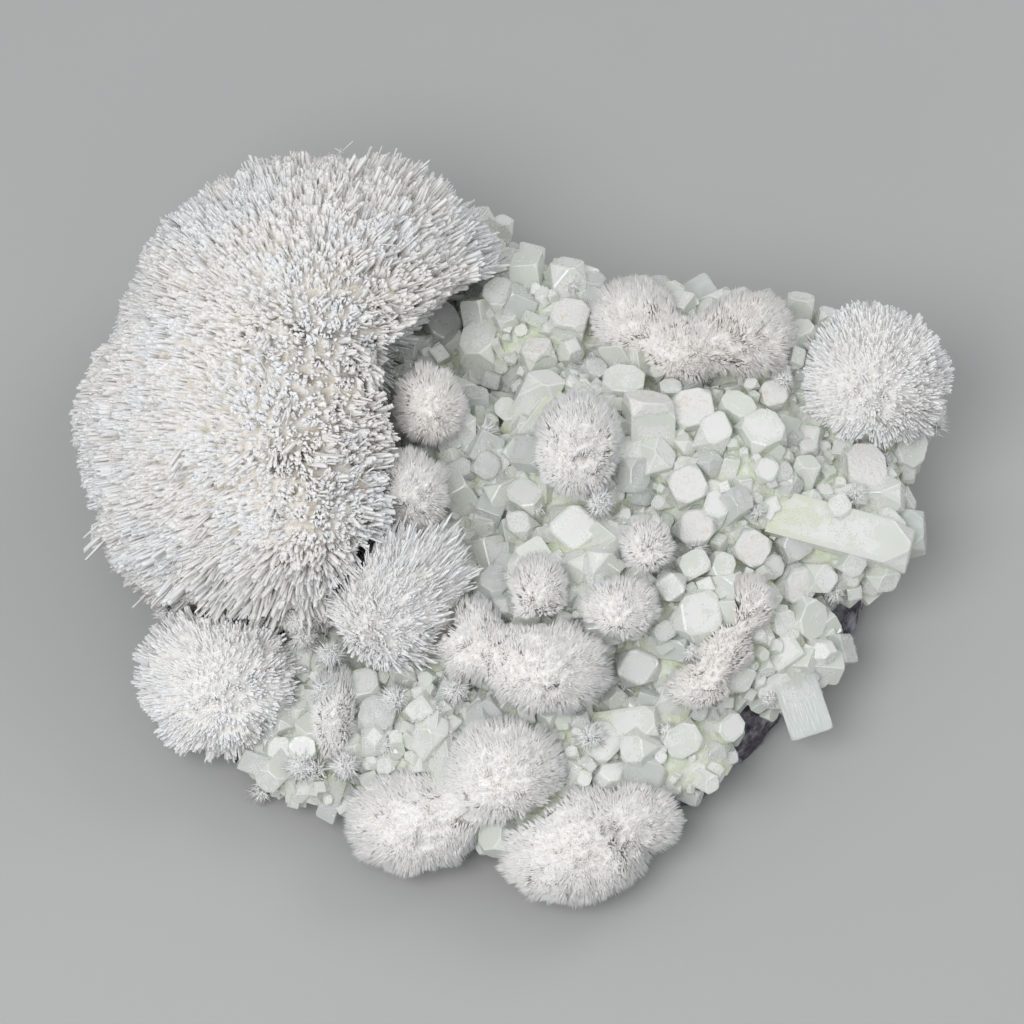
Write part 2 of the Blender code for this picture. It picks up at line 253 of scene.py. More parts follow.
# Middle, half width, half depth, reach up and reach down of each hump.
CRUST_HUMPS = [
    (7, 37, 19, 15, 14, 15, 13), (24, 33, 20, 16, 14, 15, 13), (42, 31, 20, 16, 14, 14, 13),
    (58, 25, 17, 15.5, 15, 12, 11), (14, 14, 14, 20, 22, 22, 8), (34, 10, 14, 22, 22, 21, 8),
    (54, 4, 15, 15.5, 14, 12.5, 9), (12, -10, 12, 20, 18, 19, 6), (30, -14, 12, 20, 17, 17, 6),
    (44, -17, 11, 12, 12, 10, 6), (24, -33, 9, 14, 13, 9, 4), (4, -36, 9, 16, 14, 11, 4),
    (2, -45, 8, 16, 9, 7, 4), (-10, -14, 10, 17, 18, 16, 5), (-16, -31, 9, 17, 15, 10, 4),
    (-30, -35, 7, 15, 11, 6, 3), (-30, -22, 8, 12, 12, 8, 4), (-10, 12, 12, 15, 18, 18, 6),
    (-14, 32, 10, 12, 16, 15, 5), (-5, 54, 10, 9, 11, 11, 6),
]
HUMP_SHRINK = 0.93
CRUST_VOXEL = 1.6
CRUST_RELIEF = [(1.4, 8.0, 4), (0.8, 3.5, 5)]
CRUST_FOOT = 4.5
BED_GREEN, BED_PALE = (0.74, 0.80, 0.60), (0.88, 0.91, 0.84)


def grown_mass(name, lobes, voxel, shrink=1.0):
    """Rounded lobes grown into one another, as a mesh."""
    work = bmesh.new()
    for x, y, z, half_x, half_y, up, down in lobes:
        for vertex in bmesh.ops.create_icosphere(work, subdivisions=4, radius=shrink)["verts"]:
            reach = up if vertex.co.z > 0 else down
            stretched = (vertex.co.x * half_x, vertex.co.y * half_y, vertex.co.z * reach)
            vertex.co = (Vector((x, y, z)) + Vector(stretched)) * MM
    mesh = bpy.data.meshes.new(name)
    work.to_mesh(mesh)
    work.free()
    return remeshed(mesh, voxel)


def flat_below(mesh, height):
    """Cuts the mesh off below a height in millimetres, and closes the cut."""
    work = bmesh.new()
    work.from_mesh(mesh)
    everything = work.verts[:] + work.edges[:] + work.faces[:]
    cut = Vector((0, 0, height * MM))
    bmesh.ops.bisect_plane(work, geom=everything, plane_co=cut, plane_no=(0, 0, -1), clear_outer=True)
    bmesh.ops.holes_fill(work, edges=[edge for edge in work.edges if edge.is_boundary])
    work.to_mesh(mesh)
    work.free()


crust_mesh = grown_mass("apophyllite_bed", CRUST_HUMPS, CRUST_VOXEL, HUMP_SHRINK)
wear_relief(crust_mesh, CRUST_RELIEF)
flat_below(crust_mesh, CRUST_FOOT)
crust_finish, shader, place = new_finish("apophyllite_bed", 0.45, Specular_IOR_Level=0.5)
pale = grain(place, 2.5, 6.0, 0.6).mask(0.38, 0.62)
feed(shader, "Base Color", pale.blend(BED_GREEN, BED_PALE))
bumps(shader, grain(place, 0.8, 6.0, 0.7), 0.5)
put_down("apophyllite_bed", crust_mesh, crust_finish, "apophyllite", "apophyllite_crust")


# Apophyllite crystals.
# Square prisms with their four end corners cut off steeply, many of them blunt. They stand out
# of the crust, the largest at set places and small ones all over it.

CORNER_FACE_ANGLE = math.radians(60)
# How blunt a crystal's end is: 1 leaves its corners whole, and 0 brings them to a point.
SHARP, PLAIN, BLUNT, BLOCKY = 0.45, 0.8, 1.0, 1.25
FORM_SHARES = (0.05, 0.2, 0.3, 0.45)
EDGE_ROUND = 0.03
# Middle of the end, width, length, the way it points, turn in degrees.
FROSTED_CRYSTALS = [
    (-6, 34, 29.5, 7.5, 12, -0.3, 0.2, 1, 20, BLUNT),
    (6, 22.5, 34.5, 6.5, 12, 0.5, 0.5, 1, 30, PLAIN),
    (19, 21, 36.8, 7, 9, 0.1, 0.2, 1, 20, BLUNT),
    (34.5, 11, 37, 6.5, 9, 0.2, -0.1, 1, 10, PLAIN),
    (9.5, 45.5, 35, 6, 10, 0.1, 0.9, 1, 20, PLAIN),
    (10.5, -5, 31, 8.5, 8, 0, -0.5, 1, 0, PLAIN),
    (2, 2.5, 30, 6, 9, -0.3, 0.1, 1, 70, BLUNT),
    (38.5, 17, 35, 6, 8, 0.1, 0.1, 1, 15, BLUNT),
    (42.5, 12, 35.5, 6.8, 9, 0.2, 0, 1, 30, BLUNT),
    (69, 16, 22.5, 7, 9, 0.6, -0.2, 0.8, 10, BLUNT),
    (67.5, -5, 22.5, 7.8, 25, 0.95, -0.22, -0.13, 15, PLAIN),
    (64.5, -1, 25, 6.5, 9, 0.5, -0.2, 0.8, 30, PLAIN),
    (53, -11, 24, 4.8, 9, 0.4, -0.5, 0.75, 60, PLAIN),
    (51, -17, 20.5, 6.8, 9, 0.6, -0.4, 0.7, 15, BLUNT),
    (44.8, -28, 15.5, 6.3, 8, 0.2, -0.8, 0.55, 30, BLUNT),
    (38.5, -28.5, 20.5, 5.4, 8, 0.3, -0.7, 0.65, 10, PLAIN),
    (24.5, -35, 18, 5.2, 11, 0.95, 0, 0.3, 10, BLUNT),
    (28.5, -38.5, 18, 6.2, 8, 0.1, -0.5, 0.85, 20, BLUNT),
    (15, -38.5, 18, 6.5, 8, 0.2, -0.3, 0.9, 15, BLUNT),
    (-25, -28, 19.5, 5.6, 8, -0.2, 0.1, 1, 35, BLUNT),
    (-39, -37, 12, 4.2, 7, -0.2, -0.4, 0.9, 20, BLUNT),
    (-6, 66, 20.5, 4.2, 9, -0.2, 0.5, 0.8, 10, PLAIN),
    (-1.5, 65.5, 18.5, 3.8, 8, 0.2, 0.4, 0.9, 30, PLAIN),
    (-1, 19, 30, 4.3, 8, -0.3, -0.2, 1, 10, BLUNT),
    (-8, 15.5, 32.5, 3.8, 11, 0, 0.4, 1, 0, PLAIN),
    (27, 20.5, 35, 3.7, 6, 0.1, 0.1, 1, 50, BLUNT),
    (50, 40.5, 32, 4.7, 8, 0.2, 0.7, 1, 10, BLUNT),
    (55, 38, 31, 3.8, 7, 0.3, 0.5, 1, 30, BLUNT),
    (43, 4.5, 34, 4.2, 7, 0.2, -0.5, 1, 0, PLAIN),
    (50.2, 7.5, 31.5, 4.4, 11, 0.2, 0.3, 1, 10, PLAIN),
    (60, 3.5, 27.5, 3.6, 11, 0.9, -0.1, 0.4, 20, PLAIN),
    (35.5, -12, 30.5, 4.3, 6, 0.3, -0.3, 0.9, 30, BLUNT),
    (10.5, 29.5, 33.5, 5, 9, 0.1, -0.2, 1, 45, SHARP),
    (1, -3, 29.5, 5, 8, -0.3, -0.2, 1, 15, PLAIN),
    (34.5, -1.5, 33, 5, 8, 0.2, -0.1, 1, 10, BLUNT),
    (30.5, -12.5, 32, 5, 7, 0.1, -0.4, 0.9, 15, BLUNT),
    (31.5, -20.5, 29.5, 8.6, 10, 0.25, -0.3, 0.95, 20, PLAIN),
    (37, -34, 14, 5, 7, 0.5, -0.5, 0.7, 0, BLUNT),
]
# These have sugary white druse on their ends.
CAPPED_CRYSTALS = [
    (10, 35, 35.5, 6.5, 10, 0.1, 0.1, 1, 30, BLUNT),
    (23, 15.5, 39.5, 7.8, 16, 0, 0.5, 0.85, 15, BLUNT),
    (30.5, 15, 37, 7, 9, -0.1, -0.2, 1, 35, BLUNT),
    (29.5, 1, 35, 6, 9, 0, -0.4, 1, 25, BLUNT),
    (31, -5, 31.5, 7.2, 10, 0, -0.5, 1, 45, PLAIN),
    (44.8, 21, 32, 5.6, 8, 0.1, -0.4, 1, 45, PLAIN),
    (60.5, 9, 28, 8, 9, 0.3, -0.1, 1, 25, BLUNT),
    (40.5, -7.5, 28.2, 5.8, 9, 0.2, -0.55, 0.8, 40, BLUNT),
    (49, -11.5, 22.5, 6.8, 9, 0.4, -0.5, 0.75, 20, PLAIN),
    (4, 29.5, 33.5, 5.5, 12, -0.1, 0.3, 1, 10, PLAIN),
]
CLEAR_CRYSTALS = [
    (-12, 41, 24, 7.5, 9, 0.3, -0.1, 1, 45, BLUNT),
    (70.5, 0.5, 19.5, 7, 11, 0.95, -0.1, 0.3, 15, BLUNT),
    (48.5, -5.5, 26, 5.6, 7, 0.3, -0.5, 0.8, 5, BLUNT),
    (50.5, -33, 10, 7.4, 17, 0.3, -0.8, -0.4, 10, BLOCKY),
    (26.3, -16.5, 31, 5, 7, -0.1, -0.6, 0.8, 0, PLAIN),
    (21, -27, 22.5, 7.2, 9, -0.1, -0.5, 0.85, 25, PLAIN),
    (21.5, -44, 15, 8.2, 9, -0.1, -0.7, 0.7, 35, PLAIN),
    (-22.5, -34, 19.5, 6, 9, -0.1, -0.2, 1, 10, BLUNT),
    (46.2, 5.2, 32.5, 3.4, 6, 0.4, -0.2, 1, 30, PLAIN),
    (34.5, -39, 13, 4.3, 7, 0.4, -0.7, 0.5, 45, PLAIN),
]
SMALL_CRYSTAL_SPACING, SMALL_CRYSTAL_WIDTHS = 3.0, (2.6, 6.0)
MINI_CRYSTAL_SPACING, MINI_CRYSTAL_WIDTHS = 2.4, (1.2, 2.6)
# Smaller still where the crust faces less upwards than that, by that much.
STEEP, STEEP_SIZE = 0.35, 0.6
# How far down a large crystal stands clear of small ones, as a share of its length.
CLEAR_LENGTH = 0.6
CLEAR_SHARE = 0.25
# The yellow-green is painted shade in the creases at the crystals' feet.
YELLOW_SHADOW, MINT_BODY, MINT_FROST = (0.85, 0.885, 0.69), (0.86, 0.905, 0.825), (0.99, 0.985, 0.97)
GLASS_BODY, GLASS_FROST = (0.90, 0.945, 0.915), (0.985, 0.99, 0.985)
# The rounded edges' white is partly frost and partly a painted highlight where the edges catch the light.
EDGE_FROST_AND_HIGHLIGHT, CAP_WHITE, RUST_SPECK = (0.97, 0.98, 0.96), (0.98, 0.97, 0.95), (0.94, 0.83, 0.71)
# Three ways to look from a spot for the outside of a mesh.
WAYS_OUT = [Vector((0.1, 0.2, 1)), Vector((1, 0.3, 0.2)), Vector((-0.4, -1, 0.3))]


def crystal_form(blunt, rounding):
    """One crystal of width 1 with its end at the origin and its foot at z = -1: its points, its
    triangles, which of those round off an edge, and the number of the facet each is part of."""
    work = bmesh.new()
    bmesh.ops.create_cube(work, size=1)
    bmesh.ops.translate(work, vec=(0, 0, -0.5), verts=work.verts)
    for quarter in range(4):
        way = math.radians(45 + 90 * quarter)
        out = Vector((math.cos(way), math.sin(way), 0))
        normal = out * math.sin(CORNER_FACE_ANGLE)
        normal.z = math.cos(CORNER_FACE_ANGLE)
        everything = work.verts[:] + work.edges[:] + work.faces[:]
        cut = out * 0.5 * blunt
        bmesh.ops.bisect_plane(work, geom=everything, plane_co=cut, plane_no=normal, clear_outer=True)
        bmesh.ops.holes_fill(work, edges=[edge for edge in work.edges if edge.is_boundary])
    bmesh.ops.remove_doubles(work, verts=work.verts, dist=1e-4)
    bmesh.ops.recalc_face_normals(work, faces=work.faces)
    if rounding:
        edges = [edge for edge in work.edges if max(end.co.z for end in edge.verts) > -0.99]
        made = bmesh.ops.bevel(work, geom=edges, offset=rounding, segments=1, affect="EDGES")
        for face in made["faces"]:
            face.material_index = 1
    facet = work.faces.layers.int.new("facet")
    for number, face in enumerate(work.faces):
        face[facet] = number
    bmesh.ops.triangulate(work, faces=work.faces)
    work.verts.index_update()
    points = np.array([vertex.co[:] for vertex in work.verts])
    faces = np.array([[vertex.index for vertex in face.verts] for face in work.faces])
    rounded = np.array([float(face.material_index) for face in work.faces])
    facets = np.array([face[facet] for face in work.faces])
    work.free()
    return points, faces, rounded, facets


def stand_of(way, turn):
    """Turns a crystal about its axis, then leans it over to point that way."""
    lean = Vector(way).normalized().to_track_quat("Z", "Y").to_matrix()
    return np.array(lean @ Matrix.Rotation(math.radians(turn), 3, "Z"))


def add_values(mesh, name, values, domain="POINT"):
    """Stores a number or a vector at each point or face of the mesh."""
    if values.ndim == 1:
        mesh.attributes.new(name, "FLOAT", domain).data.foreach_set("value", values)
    else:
        mesh.attributes.new(name, "FLOAT_VECTOR", domain).data.foreach_set("vector", values.ravel())


def crystals_mesh(name, rows, rounding, draw):
    """All crystals of the rows in one mesh. Each keeps its own place, so that its growth lines
    follow it, where each point lies across and along it, and how frosted each facet is."""
    forms = {blunt: crystal_form(blunt, rounding) for blunt in (SHARP, PLAIN, BLUNT, BLOCKY)}
    points, faces, own, shape, edges, frosts, count = [], [], [], [], [], [], 0
    for x, y, z, width, length, way_x, way_y, way_z, turn, blunt in rows:
        form_points, form_faces, rounded, facets = forms[blunt]
        sized = form_points * width
        sized[:, 1] *= draw.uniform(0.8, 1.0)
        sized[:, 2] += sized[:, 0] * draw.normal(0, 0.07) + sized[:, 1] * draw.normal(0, 0.07)
        sized[form_points[:, 2] < -0.95, 2] = -length
        points.append(sized @ stand_of((way_x, way_y, way_z), turn).T + (x, y, z))
        faces.append(form_faces + count)
        own.append(sized + draw.uniform(0, 100, 3))
        shown = max(min(length, 1.8 * width), 0.8 * length)
        along = np.clip(1 + sized[:, 2] / shown, 0, 1)
        shape.append(np.column_stack([form_points[:, :2] * 2, along]))
        edges.append(rounded)
        frosts.append((draw.random() + draw.random(facets.max() + 1)[facets]) / 2)
        count += len(sized)
    mesh = mesh_from(name, np.concatenate(points) * MM, np.concatenate(faces))
    mesh.shade_flat()
    add_values(mesh, "shape", np.concatenate(shape))
    add_values(mesh, "own", np.concatenate(own))
    add_values(mesh, "edge", np.concatenate(edges), "FACE")
    add_values(mesh, "frost", np.concatenate(frosts), "FACE")
    return mesh


def value_of(place, name, output="Fac"):
    """The numbers that a mesh stores at its points."""
    return place.node("ShaderNodeAttribute", {"attribute_name": name}, {}, output)


def tree_of(*meshes):
    """Finds what lies near a point on any of these meshes."""
    points, faces, count = [], [], 0
    for mesh in meshes:
        points.append(points_of(mesh))
        faces.append(triangles_of(mesh) + count)
        count += len(points[-1])
    return BVHTree.FromPolygons(np.concatenate(points).tolist(), np.concatenate(faces).tolist())


def sampled(mesh, spacing, draw):
    """Places strewn over a mesh, with that spacing on average, and the normals there."""
    points, faces = points_of(mesh), triangles_of(mesh)
    a, b, c = (points[faces[:, corner]] for corner in range(3))
    across = np.cross(b - a, c - a)
    areas = np.linalg.norm(across, axis=1) / 2
    count = int(areas.sum() / (spacing * MM) ** 2)
    chosen = draw.choice(len(faces), count, p=areas / areas.sum())
    u, v = draw.random((2, count, 1))
    over = u + v > 1
    u, v = np.where(over, 1 - u, u), np.where(over, 1 - v, v)
    places = a[chosen] + (b - a)[chosen] * u + (c - a)[chosen] * v
    return places, across[chosen] / (2 * areas[chosen])[:, None]


def scattered(mesh, spacing, draw):
    """Like sampled, but no two places are much nearer than the spacing."""
    places, normals = sampled(mesh, spacing * 0.58, draw)
    near = KDTree(len(places))
    for index, spot in enumerate(places):
        near.insert(spot, index)
    near.balance()
    dropped = np.zeros(len(places), bool)
    for index, spot in enumerate(places):
        if not dropped[index]:
            for _, other, _ in near.find_range(spot, 0.72 * spacing * MM):
                dropped[other] |= other > index
    return places[~dropped], normals[~dropped]


def depth_in(tree, spot):
    """How far a spot lies inside a closed mesh, in metres. Outside it is less than 0."""
    distance = tree.find_nearest(spot)[3]
    inner_sides = 0
    for way in WAYS_OUT:
        found, normal, _, _ = tree.ray_cast(spot, way)
        inner_sides += found is not None and normal.dot(way) > 0
    return distance if inner_sides > len(WAYS_OUT) / 2 else -distance


SPRAY_NODES = [name for name in sorted(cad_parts) if name.endswith("_spray")]
spray_trees = {name: tree_of(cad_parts[name].data) for name in SPRAY_NODES}
matrix_tree = tree_of(matrix_mesh)


def under_a_spray(spot, cover):
    """Whether a spot lies inside one of the sprays, deeper than cover millimetres."""
    return any(depth_in(tree, spot) > cover * MM for tree in spray_trees.values())


def bare_places(mesh, cover, spacing, draw):
    """Places on a mesh that neither a spray nor the body of the tree called cover hides."""
    for spot, normal in zip(*scattered(mesh, spacing, draw)):
        if depth_in(cover, spot) < -0.3 * MM and not under_a_spray(spot, 0.3):
            yield spot, normal


def gap_to_crystal(spot, row):
    """How far a spot is from the axis of a large crystal's upper part, in millimetres."""
    away = Vector(spot) - Vector(row[:3])
    axis = Vector(row[5:8]).normalized()
    return (away - axis * min(max(away.dot(axis), -CLEAR_LENGTH * row[4]), 0)).length


def small_crystals(spacing, widths, spread, proud, draw):
    """Rows of small crystals that stand out of the crust, away from the large ones."""
    rows = []
    large = FROSTED_CRYSTALS + CAPPED_CRYSTALS + CLEAR_CRYSTALS
    for spot, normal in bare_places(crust_mesh, matrix_tree, spacing, draw):
        width = widths[0] + (widths[1] - widths[0]) * draw.random() ** 1.4
        width *= STEEP_SIZE if normal[2] < STEEP else 1
        length = width * draw.uniform(1.8, 3.0)
        way = normal + draw.normal(0, spread, 3)
        way /= np.linalg.norm(way)
        end = spot / MM + way * width * draw.uniform(*proud)
        turn, blunt = draw.uniform(0, 90), draw.choice([SHARP, PLAIN, BLUNT, BLOCKY], p=FORM_SHARES)
        crowded = any(gap_to_crystal(end, row) < (row[3] + width) * 0.42 for row in large)
        lowest = min(end[2], end[2] - length * way[2])
        if way @ normal > 0.3 and lowest > 0.7 * width and not crowded:
            rows.append((*end, width, length, *way, turn, blunt))
    return rows


def nearness_to_edge(across, beside, along):
    """0 in the middle of a crystal's face and 1 on its edges, from where a spot lies in it."""
    across, beside = across.math("ABSOLUTE", across), beside.math("ABSOLUTE", beside)
    nearer = along.math("MINIMUM", across.math("MAXIMUM", across, beside), along)
    return nearer.math("MAXIMUM", across.math("MINIMUM", across, beside), nearer)


def crystal_finish(name, clearness, roughness, body, inside, cap):
    """Apophyllite: painted yellow-green shade in the creases, towards each crystal's foot, and clear
    along its edges, with white frost inside and growth lines. Its rounded edges are painted whiter,
    partly for white frost and partly as a painted highlight. A cap of 1 puts white druse with rusty
    specks on the ends."""
    material, shader, place = new_finish(name, roughness, Transmission_Weight=clearness, IOR=1.535)
    own = value_of(place, "own", "Vector")
    shape = value_of(place, "shape", "Vector")
    across, beside, along = (shape.node("ShaderNodeSeparateXYZ", {}, {0: shape}, axis) for axis in "XYZ")
    cloud = own.node("ShaderNodeTexNoise", {}, {"Vector": own, "Scale": 0.3, "Detail": 2.0})
    veil = own.node("ShaderNodeTexNoise", {}, {"Vector": own, "Scale": 0.9, "Detail": 3.0, "Distortion": 1.5})
    # Painted yellow-green shade low on each crystal, fading out towards its end.
    upper = (along + (cloud - 0.5) * 0.7).mask(-0.1, 0.6)
    body = upper.blend(YELLOW_SHADOW, body)
    core = 1 - (nearness_to_edge(across, beside, along) + (veil - 0.5) * 0.5).mask(0.62, 0.92)
    frost = (cloud * 0.5 + veil * 0.5 + (value_of(place, "frost") - 0.5) * 0.4).mask(0.38, 0.56) * core
    sugar = own.node("ShaderNodeTexNoise", {}, {"Vector": own, "Scale": 2.0, "Detail": 3.0})
    capped = (along + (cloud - 0.5) * 0.4).mask(0.84, 0.93) * cap
    druse = veil.mask(0.57, 0.66).blend(CAP_WHITE, RUST_SPECK)
    coloured = capped.blend((frost * upper).blend(body, inside), druse)
    # The rounded edges are painted whiter: partly white frost, partly a painted highlight.
    feed(shader, "Base Color", (value_of(place, "edge") * 0.9).blend(coloured, EDGE_FROST_AND_HIGHLIGHT))
    feed(shader, "Roughness", roughness + (frost * 0.3 + capped * 0.3))
    fine = own.node("ShaderNodeVectorMath", {"operation": "MULTIPLY"}, {0: own, 1: (1, 1, 0.15)})
    lines = fine.node("ShaderNodeTexNoise", {}, {"Vector": fine, "Scale": 2.4, "Detail": 2.0})
    bumps(shader, lines * 0.16 + capped * sugar * 0.8, 0.35)
    return material


draw = np.random.default_rng(3)
small_rows = small_crystals(SMALL_CRYSTAL_SPACING, SMALL_CRYSTAL_WIDTHS, 0.65, (0.4, 0.95), draw)
mini_rows = small_crystals(MINI_CRYSTAL_SPACING, MINI_CRYSTAL_WIDTHS, 0.6, (0.5, 1.3), draw)
clear = draw.random(len(small_rows)) < CLEAR_SHARE
clear_rows = [row for row, is_clear in zip(small_rows, clear) if is_clear]
frosted_rows = [row for row, is_clear in zip(small_rows, clear) if not is_clear]
frosted = crystal_finish("frosted_apophyllite", 0.24, 0.14, MINT_BODY, MINT_FROST, 0)
capped = crystal_finish("capped_apophyllite", 0.24, 0.14, MINT_BODY, MINT_FROST, 1)
clear = crystal_finish("clear_apophyllite", 0.45, 0.08, GLASS_BODY, GLASS_FROST, 0)
for name, rows, rounding, finish in (
    ("apophyllite_large_frosted", FROSTED_CRYSTALS, EDGE_ROUND, frosted),
    ("apophyllite_large_capped", CAPPED_CRYSTALS, EDGE_ROUND, capped),
    ("apophyllite_large_clear", CLEAR_CRYSTALS, EDGE_ROUND, clear),
    ("apophyllite_small_frosted", frosted_rows, EDGE_ROUND, frosted),
    ("apophyllite_small_clear", clear_rows, EDGE_ROUND, clear),
    ("apophyllite_druse", mini_rows, 0, frosted),
):
    mesh = crystals_mesh(name, rows, rounding, draw)
    put_down(name, mesh, finish, "apophyllite", "apophyllite_crust")


# Great spray of mordenite.
# White needles radiate from three roots deep in the rock. They grew side by side in thin bundles
# that end square, and painted tan shade darkens the gaps between the bundles.

# Middle of each fan's show side, and the root that its needles come from.
GREAT_FANS = [((-34, 21, 52), (-34, 41, 17)), ((-39, 1, 54), (-38.5, 20, 19)), ((-34, -14, 49), (-34, -1, 27))]
FAN_MERGING = 3.0
GREAT_BUNDLE, GREAT_NEEDLE = 2.8, 0.72
GREAT_NEEDLE_WIDTHS = (0.5, 1.45)
# The needles' fused lower parts: broad blades that end that much lower, and how those stray.
GREAT_BLADE, GREAT_BLADE_WIDTHS, GREAT_BLADE_DROP = 1.35, (1.3, 2.4), 0.7
GREAT_BLADE_STRAY = (0.35, 0.03)
# Along its broken side and its front foot, loose needles stand out that much further.
FRINGE_NEEDLE, FRINGE_REACH, FRINGE_STRAY = 0.9, 3.4, (2.4, 0.14)
# How much those point to the side or to the front at least.
FRINGE_SIDE, FRINGE_FRONT = 0.35, 0.7
# Least and greatest thickness of a needle, as a share of its width.
GREAT_NEEDLE_THICKNESS = (0.4, 0.8)
GREAT_NEEDLE_LENGTH = 9.0
# How unevenly the bundles end, then how far a needle falls short of its bundle and leans from it.
GREAT_UNEVEN, GREAT_STRAY = 0.7, (0.65, 0.03)
# The heart's depth, voxel size and grooves.
GREAT_HEART = (2.5, 1.3, 0.6)
# The needles' root colour is painted tan shade deep between them.
NEEDLE_TIP, NEEDLE_CREAM, NEEDLE_ROOT_SHADE = (0.915, 0.918, 0.925), (0.925, 0.905, 0.88), (0.88, 0.85, 0.80)
# The heart's dark colour is painted tan shade in the grooves between the bundles.
HEART_GROOVE_SHADE, HEART_PALE = (0.74, 0.67, 0.57), (0.88, 0.86, 0.82)
HAIR_SPACING, HAIR_WIDTH, HAIR_LENGTHS = 9.0, 0.22, (2.0, 5.0)
# How much a hair's place faces up at least, and how steeply the hair stands off.
HAIR_UPWARD, HAIR_LIFT = 0.5, 0.1
UV_NAME = "OFBake"


def roots_at(places, fans):
    """The root that each needle's place points back to. Where two fans meet, they merge."""
    middles, roots = np.array(fans, float).transpose(1, 0, 2)
    gaps = np.linalg.norm(places[:, None] - middles[None], axis=2)
    pull = np.exp((gaps.min(axis=1, keepdims=True) - gaps) / FAN_MERGING)
    return pull @ roots / pull.sum(axis=1, keepdims=True)


def lengths_of(vectors):
    return np.linalg.norm(vectors, axis=1, keepdims=True)


def open_places(node, places, normals, clearance=0.45):
    """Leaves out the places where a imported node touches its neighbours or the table."""
    others = [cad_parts[other].data for other in sorted(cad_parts) if other != node]
    tree = tree_of(*others)
    reach = clearance * MM
    kept = [tree.find_nearest(spot, reach)[0] is None and spot[2] > FOOT_BAND * MM for spot in places]
    return places[kept] / MM, normals[kept]


def bundle_places(node, spacing, uneven, draw):
    """The middles of a node's bundles in millimetres, how high each stands out, and a tree that
    finds the nearest."""
    middles = scattered(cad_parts[node].data, spacing, draw)[0] / MM
    heights = np.clip(draw.normal(0.5, uneven, len(middles)), -uneven, 2.2 * uneven)
    near = KDTree(len(middles))
    for index, spot in enumerate(middles):
        near.insert(spot, index)
    near.balance()
    return middles, heights, near


def bundled_needles(node, fans, bundles, spacing, widths, length, stray, draw, gather=0.18):
    """Feet, ends, widths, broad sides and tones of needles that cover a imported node, in
    millimetres. Those of one bundle end at about the same height, and lean and face together."""
    middles, heights, near = bundles
    places, _ = open_places(node, *sampled(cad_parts[node].data, spacing, draw))
    which = np.array([near.find(spot)[1] for spot in places])
    towards = middles[which] - places
    height_stray, lean_stray = stray
    leans = draw.normal(0, lean_stray, (len(middles), 3))
    ways = places - roots_at(places, fans)
    reach = lengths_of(ways)
    ways = ways / reach + leans[which] + draw.normal(0, lean_stray * 0.4, ways.shape)
    ways /= lengths_of(ways)
    height = heights[which] - np.abs(draw.normal(0, height_stray, len(places)))
    end = places + towards * gather + ways * height[:, None]
    foot = end - ways * np.minimum(length, reach * 0.8) - towards * gather * 0.6
    width = widths[0] + (widths[1] - widths[0]) * draw.random(len(places)) ** 1.6
    facing = draw.normal(size=leans.shape)[which] + draw.normal(0, 0.5, ways.shape)
    tone = 0.65 * draw.random(len(middles))[which] + 0.35 * draw.random(len(places))
    return foot, end, width, facing, tone


def needle_rings(foot, end, width, facing, sides, thickness, taper, slant, draw):
    """A ring of points at the foot of each needle and one at its end, which is cut askew."""
    way = end - foot
    way /= lengths_of(way)
    side = np.cross(way, facing)
    side /= lengths_of(side)
    other_side = np.cross(way, side)
    turns = (np.arange(sides) * 2 * math.pi / sides)[None, :, None]
    flat = draw.uniform(*thickness, (len(foot), 1, 1))
    ring = side[:, None] * np.cos(turns) + other_side[:, None] * np.sin(turns) * flat
    ring *= width[:, None, None] / 2
    skew = draw.normal(0, slant, (len(foot), sides, 1)) * width[:, None, None] * way[:, None]
    return foot[:, None] + ring * 1.1, end[:, None] + ring * taper + skew


def map_cells(count):
    """The lower left corner and the size of each needle's own cell on the map."""
    across = math.ceil(math.sqrt(count))
    cells = np.arange(count)
    return np.stack([cells % across, cells // across], axis=1)[:, None] / across, 1 / across


def give_map(mesh, count, *face_maps):
    """Lays out the mesh's map: face_maps hold the corners of one needle's faces in a unit cell."""
    corner, size = map_cells(count)
    laid = [corner + np.array(face_map)[None] * size for face_map in face_maps]
    uv = np.concatenate([part.reshape(-1, 2) for part in laid])
    mesh.uv_layers.new(name=UV_NAME).uv.foreach_set("vector", uv.astype(np.float32).ravel())


def prism_needles(name, foot, end, width, facing, tone, thickness, taper, slant, draw, sides=3):
    """Closed prisms that end square, one for each needle."""
    count = len(foot)
    low, high = needle_rings(foot, end, width, facing, sides, thickness, taper, slant, draw)
    first = np.arange(count)[:, None] * 2 * sides
    ring = np.arange(sides)
    after = (ring + 1) % sides
    wall = np.stack([ring, after, sides + after, sides + ring], axis=1).ravel()
    walls = (first + wall[None]).reshape(-1, 4)
    points = np.concatenate([low, high], axis=1).reshape(-1, 3) * MM
    mesh = mesh_from(name, points, walls, first + sides + ring, first + ring[::-1])
    wall_map, turns = [], ring / sides * 2 * math.pi
    for number in ring:
        left, right = number / sides, (number + 1) / sides
        wall_map += [(left, 0.12), (right, 0.12), (right, 0.88), (left, 0.88)]
    cap_map = [(0.5 + 0.5 * math.cos(turn), 0.94 + 0.06 * math.sin(turn)) for turn in turns]
    foot_map = [(u, v - 0.88) for u, v in cap_map]
    give_map(mesh, count, wall_map, cap_map, foot_map)
    add_values(mesh, "along", np.tile(np.repeat([0.0, 1.0], sides), count))
    add_values(mesh, "tone", np.repeat(tone, 2 * sides))
    return mesh


